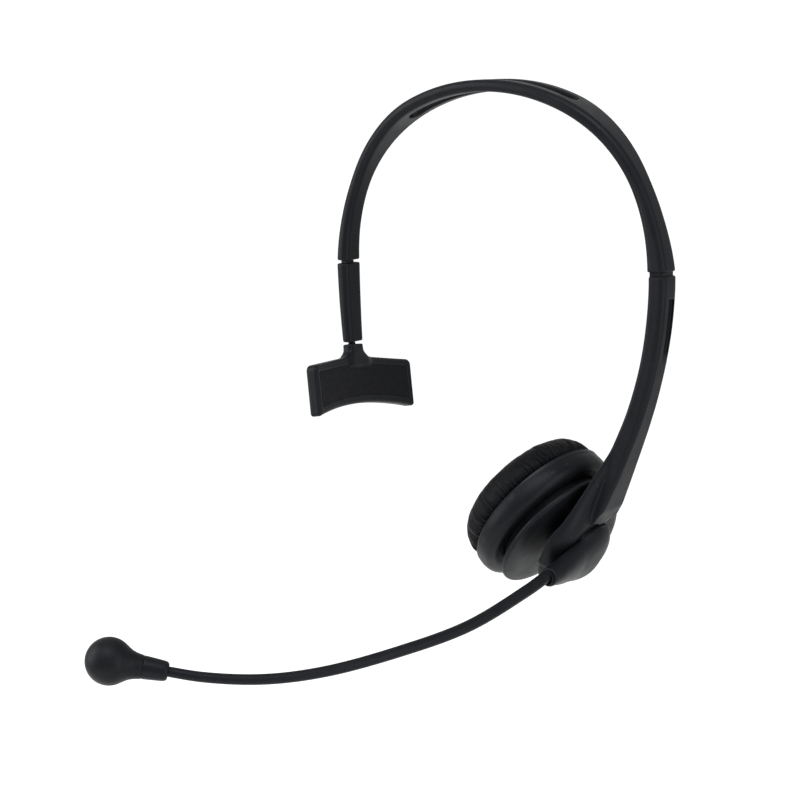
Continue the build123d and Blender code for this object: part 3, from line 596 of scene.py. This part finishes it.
def arm_field(s, n, y):
    """The arm with its skirt and hub; s runs down the arm, n is the level outward, y is to the back."""
    n = n - ARM_MIDDLE - np.interp(s, *ARM_STAND)
    step = s[1, 0, 0] - s[0, 0, 0]
    down = s - HUB_AT
    width, thick = (smooth_shape(s, ARM_SHAPE, k) for k in (1, 2))
    ridge = rounded_bar(y, n, width / 2, thick / 2, np.interp(down, *ARM_EDGE))
    ridge = keep(ridge, np.maximum(ARM_TOP - s, down - 8) + 0 * ridge, 0.55)
    half, rise = (np.interp(down, SKIRT_SHAPE[:, 0], SKIRT_SHAPE[:, k]) for k in (1, 2))
    skirt = even((abs(y) / half) ** 3.2 + (abs(n + FLOOR) / rise) ** 2.2 - 1, step)
    foot = np.interp(down, *SKIRT_FOOT)
    skirt = keep(skirt, np.maximum(abs(down - SKIRT_MIDDLE) - SKIRT_REACH, foot - n) + 0 * skirt, 0.8)
    out = np.hypot(down + HUB_SHIFT, y)
    dome = even((out / HUB_RADIUS) ** 4 + (abs(n + FLOOR) / HUB_RISE) ** 2 - 1, step)
    dome = keep(dome, -FLOOR - n + 0 * dome, 0.7)
    body = merge(dome, skirt, 2.0)
    body = merge(body, ridge, 0.7)
    under = np.interp(down, *CUP_ROOM)
    body = keep(body, under - n + 0 * body, 0.6)
    hub_out = np.hypot(down, y)
    heading = np.degrees(np.arctan2(y, -down))
    swing = np.interp(abs(heading - SWING_MIDDLE), *SWING)
    wall = np.interp(hub_out - swing, *WALL)
    body = cut(body, np.maximum((wall - n) * 0.9 + 0 * body, hub_out - SCOOP_REACH), 0.25)
    body = cut(body, np.maximum(hub_out - HUB_CAVITY[0], n - HUB_CAVITY[1]), 0.2)
    body = cut(body, np.maximum(hub_out - HUB_BORE[0], HUB_BORE[1] - n), 0.2)
    first, last, middle, wide = WINDOW
    slope = np.maximum(s - last - np.maximum(n - WINDOW_FLOOR, 0) * 2.6, first - s)
    hole = np.maximum(np.maximum(abs(y - middle) - wide, slope * 0.4), WINDOW_FLOOR - n)
    body = cut(body, hole, 0.3)
    half_depth, half_width, end = TONGUE_ROOM
    tongue_room = np.maximum(np.maximum(abs(n) - half_depth, abs(y) - half_width), s - end)
    return cut(body, tongue_room, 0.1)


def make_arm():
    piece = field_piece("ear_arm_skin", (90.6, -2.5, -19.2), (202.0, 8.0, 19.2), grid_step(0.28),
                        arm_field, "black_plastic", "ear_arm", on_line(EAR_LINE))
    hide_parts("ear_arm_shell")


# ---------------------------------------------------------------- boom turret
BARREL = np.array([             # distance forward; middle across, half width, middle's level, half depth
    (-4.0, 0.8, 9.6, 2.0, 3.2), (4.0, 1.2, 9.0, 2.3, 3.8), (10.0, 1.5, 7.3, 2.9, 4.0),
    (15.0, 1.6, 5.6, 3.7, 3.7), (20.0, 1.9, 4.0, 4.5, 3.2), (25.5, 2.3, 2.95, 4.9, 2.9),
    (28.0, 2.4, 2.8, 4.9, 2.8),
])
BARREL_START, BARREL_END = -4, 25.5
MOUTH = (2.3, 4.9)              # down and level of the boom's middle where it leaves the barrel
BORE = 2.25
TURRET_RISE = 3.85


def turret_field(down, back, n):
    """Domed cap and tapering barrel; down and back lie across the turret's axis, n along it."""
    step = down[1, 0, 0] - down[0, 0, 0]
    low = SEAT + 0.15
    out = np.hypot(down, back)
    dome = even((out / TURRET_RADIUS) ** 2.6 + (abs(n - low) / TURRET_RISE) ** 1.9 - 1, step)
    front = -back
    middle, wide, level, deep = (np.interp(front, BARREL[:, 0], BARREL[:, k]) for k in (1, 2, 3, 4))
    barrel = even(np.sqrt(((down - middle) / wide) ** 2 + ((n - level) / deep) ** 2) - 1 + 0 * back, step)
    barrel = keep(barrel, np.maximum(front - BARREL_END, BARREL_START - front) + 0 * barrel, 0.8)
    body = merge(dome, barrel, 1.6)
    body = keep(body, low - n + 0 * body, 0.5)
    bore = np.hypot(down - MOUTH[0], n - MOUTH[1]) - BORE
    return cut(body, np.maximum(bore, BARREL_END - 3 - front), 0.25)


def make_turret():
    """The turret, and the rubber collar where the boom comes out of it."""
    place = np.array(hub)

    def bend(points):
        metres = points * MM
        return metres @ place[:3, :3].T + place[:3, 3]

    piece = field_piece("boom_turret_skin", (-11.8, -27.0, 1.2), (11.8, 11.8, 8.6), grid_step(0.2),
                        turret_field, "black_plastic", "boom_turret", bend)
    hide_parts("turret_cap")
    mouth = hub @ Matrix.Translation(Vector((MOUTH[0], -BARREL_END, MOUTH[1])) * MM)
    collar = mouth @ Matrix.Rotation(radians(90), 4, "X")
    lip = rounded([(2.0, -2.6, 0), (2.2, -2.6, 0), (2.2, 0.1, 0), (2.42, 0.25, 0.1), (2.42, 0.8, 0.2),
                   (2.15, 1.0, 0.1), (2.0, 0.9, 0)])
    lathe("boom_collar", collar, lip, "dark_rubber", "boom_turret", 64, closed=True)


make_band()
make_arm()
make_turret()


# ---------------------------------------------------------------- boom and microphone
# The route of the boom's middle line, in millimetres.
BOOM_ROUTE = [
    (34.4, -16.5, -148.2), (34.1, -25.3, -148.4), (33.0, -34.6, -150.9), (27.2, -58.7, -157.75),
    (18.3, -81.4, -161.5), (6.5, -102.1, -164.4), (-4.2, -116.4, -164.8), (-15.8, -129.0, -162.9),
    (-25.4, -137.6, -160.1),
]
BOOM_RADII = (1.9 * MM, 1.5 * MM)   # at the turret, at the microphone
MIC_CENTRE = Vector((-36.5, -146.3, -157.0)) * MM
MIC_RADIUS = 6.95
MIC_NECK = [(4.75, -5.4), (4.25, -6.3), (3.90, -7.3), (3.66, -8.3), (3.52, -9.2)]
MIC_END = [(3.44, -9.58), (3.25, -9.66), (0.0, -9.66)]
MIC_COLLAR = [(0, -9.72, 0), (3.42, -9.72, 0.15), (3.30, -11.6, 2.0), (2.98, -15.6, 1.0),
              (2.80, -16.5, 0.7), (2.2, -17.1, 0.5), (1.6, -16.8, 0.2), (0, -16.8, 0)]


def make_boom():
    """The sleeve of the bendable boom, in two pieces that meet half way between the bends."""
    route = smooth_route([Vector(p) * MM for p in BOOM_ROUTE])
    steps = [0.0]
    for before, after in zip(route, route[1:]):
        steps.append(steps[-1] + (after - before).length)
    thick_end, thin_end = BOOM_RADII
    radii = [thick_end + (thin_end - thick_end) * s / steps[-1] for s in steps]
    bends = [Vector(joints[name]["pos_m"]) for name in ("boom_bend_root", "boom_bend_tip")]
    nearest = [min(range(len(route)), key=lambda i: (route[i] - bend).length) for bend in bends]
    split = (nearest[0] + nearest[1]) // 2
    halves = (("boom_sleeve_a", 0, split, "boom_turret", "boom_middle", nearest[0],
               ("boom_sleeve_root",)),
              ("boom_sleeve_b", split, len(route) - 1, "boom_middle", "boom_tip", nearest[1],
               ("boom_sleeve_middle", "boom_sleeve_tip")))
    for name, first, last, before, after, bend, stands_for in halves:
        piece = tube(name, route[first:last + 1], radii[first:last + 1], "boom_sleeve", None)
        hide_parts(*stands_for)
        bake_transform(piece)


def make_mic():
    """Bulb and collar in one smooth taper, parted by a fine groove, with the boom going in at the back."""
    tail = Vector(BOOM_ROUTE[-1]) * MM
    axis = (MIC_CENTRE - tail).normalized()
    mic = local_frame(MIC_CENTRE, axis.cross(Vector((0, 0, 1))), axis)
    angles = [radians(a) for a in range(88, -38, -4)]
    ball = [(0.0, MIC_RADIUS)] + [(MIC_RADIUS * cos(a), MIC_RADIUS * sin(a)) for a in angles]
    bulb = lathe("mic_bulb", mic, ball + MIC_NECK + MIC_END, "windscreen", "boom_tip", 128)
    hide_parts("mic_windscreen", "mic_capsule")
    shell = lathe("mic_collar", mic, rounded(MIC_COLLAR), "black_plastic", "boom_tip", 96)
    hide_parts("mic_body", "mic_grommet")


make_boom()
make_mic()


# ---------------------------------------------------------------- temple bar and its pad
BAR_SWIVEL, BAR_TILT, BAR_LEAN = 4.6, 8.2, -4.5     # degrees about its height, length and thickness
BAR_HALF, BAR_BEND = 29.1, 182.0            # half length, radius it is bent to
BAR_THICK = 4.5
BAR_LEVELS = (4.6, 7.1, 23.7, 3.0)          # below the pivot: shoulder, top corners, lower corners, hollow
BAR_SKEW = 0.011                            # how much the lower edge rises from front to back
STEM_AT = 0.4                               # middle of the stem across the bar
STEM_SHAPE = ((0, 3.2, 6.5), (3.95, 4.1, 5.6))      # below the pivot; half width of the stem
PAD_MARGIN, PAD_RECESS = 2.7, 0.55          # from the bar's outline, under its face
neck_spot = Vector(joints["temple_pad_swivel"]["pos_m"])
bar_turn = (Matrix.Rotation(radians(-BAR_TILT), 3, "Y") @ Matrix.Rotation(radians(BAR_SWIVEL), 3, "Z")
            @ Matrix.Rotation(radians(BAR_LEAN), 3, "X"))
pin_line = bar_turn.transposed() @ Vector(joints["temple_pad_swivel"]["axis"])


def bend_bar(points):
    """From (across, down, towards the head) to the model's frame, bent round the side of the head."""
    across, down, inward = points.T
    rise = BAR_BEND - np.sqrt(BAR_BEND ** 2 - across ** 2)
    placed = np.stack([inward + rise, across, -down], axis=1) @ np.array(bar_turn).T
    return placed * MM + np.array(neck_spot)


def bar_outline(across, down):
    """Distance to the bar's outline, which has larger radii at its upper corners."""
    shoulder, top, low, hollow = BAR_LEVELS
    share = abs(across) / BAR_HALF
    above = shoulder + (top - shoulder) * share - down
    below = down - low + hollow * (1 - share ** 2) + BAR_SKEW * across
    radius = np.interp(down, (13, 16), (1.9, 1.1))
    return round_corner(abs(across) - BAR_HALF, np.maximum(above, below), radius)


def soft_slab(outline, level, half, radius):
    """An outline made into a slab with rounded edges."""
    return round_corner(outline, abs(level) - half, radius)


def bar_field(across, down, inward):
    """Curved plate with a recess for the pad, its stem, and the pin that it swivels on."""
    outline = bar_outline(across, down)
    plate = soft_slab(outline, inward, BAR_THICK / 2, 1.15)
    recess = np.maximum(outline + PAD_MARGIN, BAR_THICK / 2 - PAD_RECESS - inward)
    plate = cut(plate, recess, 1.0)
    wide = np.interp(down, *STEM_SHAPE)
    stem = rounded_bar(across - STEM_AT, inward - 0.1 + 0 * down, wide, 2.05, 1.6 + 0 * down)
    stem = keep(stem, np.maximum(0.65 - down, down - 7.4) + 0 * stem, 0.5)
    body = merge(plate, stem, 3.0)
    along = inward * pin_line.x + across * pin_line.y - down * pin_line.z
    off = np.sqrt(np.maximum(inward ** 2 + across ** 2 + down ** 2 - along ** 2, 0))
    pin = np.maximum(off - 1.2, abs(along) - 3.6)
    return np.minimum(body, pin)


def pad_field(across, down, inward):
    """Thin pad that lies in the bar's recess."""
    outline = bar_outline(across, down) + PAD_MARGIN
    return soft_slab(outline - 0.25, inward - BAR_THICK / 2 + PAD_RECESS, 0.35, 0.15)


def make_bar():
    box = (-30.1, -4.4, -3.2), (30.1, 24.8, 3.4), grid_step(0.26)
    bar = field_piece("temple_bar_skin", *box, bar_field, "black_plastic", "temple_pad", bend_bar)
    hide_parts("temple_bar")
    pad = field_piece("temple_pad_skin", *box, pad_field, "dark_rubber", "temple_pad", bend_bar)
    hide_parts("temple_bar_pad")


make_bar()


# ---------------------------------------------------------------- ear cup
# Outlines of (radius, height over the cushion's back, corner radius).
CUP_RIM = [(17.6, 1.2, 0), (24.0, 1.2, 0), (24.5, 0.5, 0), (25.15, 0.7, 0.6), (25.45, 3.4, 2.4),
           (24.9, 5.9, 2.2), (23.2, 7.2, 2.0), (20.2, 7.3, 1.0), (18.9, 6.8, 0.4), (17.6, 6.8, 0)]
CUP_DOME = [(17.6, 9.6, 0), (18.9, 9.6, 0), (20.8, 9.3, 0.8), (22.7, 10.2, 1.4), (22.6, 11.6, 1.4),
            (19.5, 12.5, 2.4), (11.5, 13.2, 4.0), (5.9, 13.6, 0.6), (5.3, 13.0, 0.3), (5.3, 11.8, 0),
            (11.0, 11.6, 1.0), (16.4, 11.1, 0.6), (17.6, 10.4, 0)]


def make_cup():
    """The rim's smooth swell and the domed back, with a dark cove between them, turned about one axis."""
    for name, outline, around, node in (("cup_rim_skin", CUP_RIM, 224, "cup_front_ring"),
                                        ("cup_dome_skin", CUP_DOME, 192, "cup_back_shell")):
        piece = lathe(name, cup, rounded(outline, 8), "black_plastic", "ear_cup", around, closed=True)
        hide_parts(node)


make_cup()


# ---------------------------------------------------------------- ear cushion
# The cover is an arc of a ring's section: the ring's radius, the section's, and how deep its middle lies.
CUSHION_RING, CUSHION_TUBE, CUSHION_SINK = 16.6, 7.8, 2.6
CUSHION_ARC = (-26, 182)        # degrees where the arc starts at the outer seam, and how far it goes
AROUND, ACROSS = ((880, 40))
FULLNESS = 0.10                 # how much longer the cover is cut than the seam it is gathered into
PRESSURE_CAP = 1.1 * MM         # no point of the cover is blown out further than this
PLEATS = 132                    # small folds round the outer seam
PLEAT_DEPTH, DEEPEST = 0.85, 1.15       # of a usual fold; where folds lie over each other


def cushion_start(swell):
    """Rings of the cushion's cover before it is blown up, from the outer seam over to the inner hole.
    swell lengthens each ring, because the cover is cut longer than the seam that it is gathered into."""
    verts = []
    for i in range(ACROSS):
        t = i / (ACROSS - 1)
        angle = radians(CUSHION_ARC[0] + CUSHION_ARC[1] * t)
        tuck = max(0.0, 1 - 9 * t)
        radius = CUSHION_RING + CUSHION_TUBE * cos(angle) - 0.9 * tuck
        height = -CUSHION_SINK - CUSHION_TUBE * sin(angle) - 0.25 * tuck
        gather = swell * max(0.0, 1.0 - t * 1.15)
        for k in range(AROUND):
            turn = 2 * pi * k / AROUND
            far = radius * (1.0 + gather) * MM
            verts.append((far * cos(turn), far * sin(turn), height * MM))
    return verts


def make_cushion():
    """The leatherette cover, gathered at its outer seam and blown up by cloth simulation."""
    faces = grid_faces(ACROSS, AROUND)
    piece = add_piece("ear_cushion_cover", cushion_start(0.0), faces, "leatherette", None)
    mesh = piece.data
    shake = [noise.noise(v.co * 900.0) for v in mesh.vertices]
    for v, offset in zip(mesh.vertices, shake):
        v.co += Vector((v.co.x, v.co.y, 0)).normalized() * offset * 0.12 * MM
    start = np.array([v.co for v in mesh.vertices], float)
    start = blow_up(piece, start)
    crease(mesh, start)
    piece.data.transform(cup)
    finer = piece.modifiers.new("finer", "SUBSURF")
    finer.levels = finer.render_levels = 1
    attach(piece, "ear_cup")
    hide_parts("ear_cushion")


def blow_up(piece, start):
    """Where the cover's points go as cloth with inner pressure; two rings at each seam are held."""
    held = piece.vertex_groups.new(name="held")
    seams = list(range(2 * AROUND)) + list(range((ACROSS - 2) * AROUND, ACROSS * AROUND))
    held.add(seams, 1.0, "REPLACE")
    piece.shape_key_add(name="now")
    pattern = piece.shape_key_add(name="cut")
    for key, spot in zip(pattern.data, cushion_start(FULLNESS)):
        key.co = spot
    cloth = piece.modifiers.new("cloth", "CLOTH")
    made = cloth.settings
    made.quality = 6
    made.mass = 0.05
    made.tension_stiffness = made.compression_stiffness = 12
    made.shear_stiffness = 4
    made.bending_stiffness = 0.02
    made.use_pressure = True
    made.uniform_pressure_force = 3.0
    made.effector_weights.gravity = 0.0
    made.vertex_group_mass = "held"
    made.pin_stiffness = 1.0
    made.rest_shape_key = pattern
    cloth.collision_settings.use_collision = False
    scene = bpy.context.scene
    for moment in range(1, 21):
        scene.frame_set(moment)
    shaped = piece.evaluated_get(bpy.context.evaluated_depsgraph_get())
    swollen = np.array([v.co for v in shaped.data.vertices], float)
    scene.frame_set(1)
    piece.modifiers.remove(cloth)
    piece.shape_key_clear()
    piece.vertex_groups.clear()
    move = swollen - start
    far = np.linalg.norm(move, axis=1, keepdims=True)
    return start + move * np.minimum(1.0, PRESSURE_CAP / np.maximum(far, 1e-9))


def crease(mesh, spots):
    """Small folds that run out from the outer seam, no two alike, and soft swellings between them."""
    spots = spots.reshape(ACROSS, AROUND, 3)
    turns = np.linspace(0, 2 * pi, AROUND, endpoint=False)
    t = np.linspace(0, 1, ACROSS)[:, None]
    pitch = 2 * pi / PLEATS

    def chance(j, k):
        """An even-handed number from 0 to 1 for fold j, the same on every run."""
        return 0.5 + 0.5 * min(1.0, max(-1.0, 1.9 * noise.noise(Vector((j * 0.73, k * 3.1, 0.4)))))

    depth = np.zeros((ACROSS, AROUND))
    for j in range(PLEATS):
        centre = (j + 0.8 * chance(j, 1)) * pitch
        wide = pitch * (0.22 + 0.20 * chance(j, 2))
        reach = 0.14 + 0.34 * chance(j, 3) ** 2
        lean = pitch * 3.0 * (chance(j, 4) - 0.5)
        deep = PLEAT_DEPTH * (0.45 + 0.75 * chance(j, 5))
        gap = (turns[None, :] - centre - lean * t + pi) % (2 * pi) - pi
        depth += deep * np.exp(-(gap / wide) ** 2) * np.clip(1 - t / reach, 0, 1) ** 0.8
    swell = [[noise.noise(Vector((cos(a) * 7, sin(a) * 7, u * 3))) for a in turns] for u in t[:, 0]]
    swell = np.array(swell) * 0.30 * np.clip(t * 6, 0, 1) * np.clip(1.6 - 2 * t, 0, 1)
    tilt = np.radians(CUSHION_ARC[0] + CUSHION_ARC[1] * t)
    push = (swell - np.minimum(depth, DEEPEST)) * MM
    spots[:, :, 0] += push * np.cos(tilt) * np.cos(turns)
    spots[:, :, 1] += push * np.cos(tilt) * np.sin(turns)
    spots[:, :, 2] -= push * np.sin(tilt)
    mesh.vertices.foreach_set("co", spots.reshape(-1).astype(np.float32))
    mesh.update()


make_cushion()
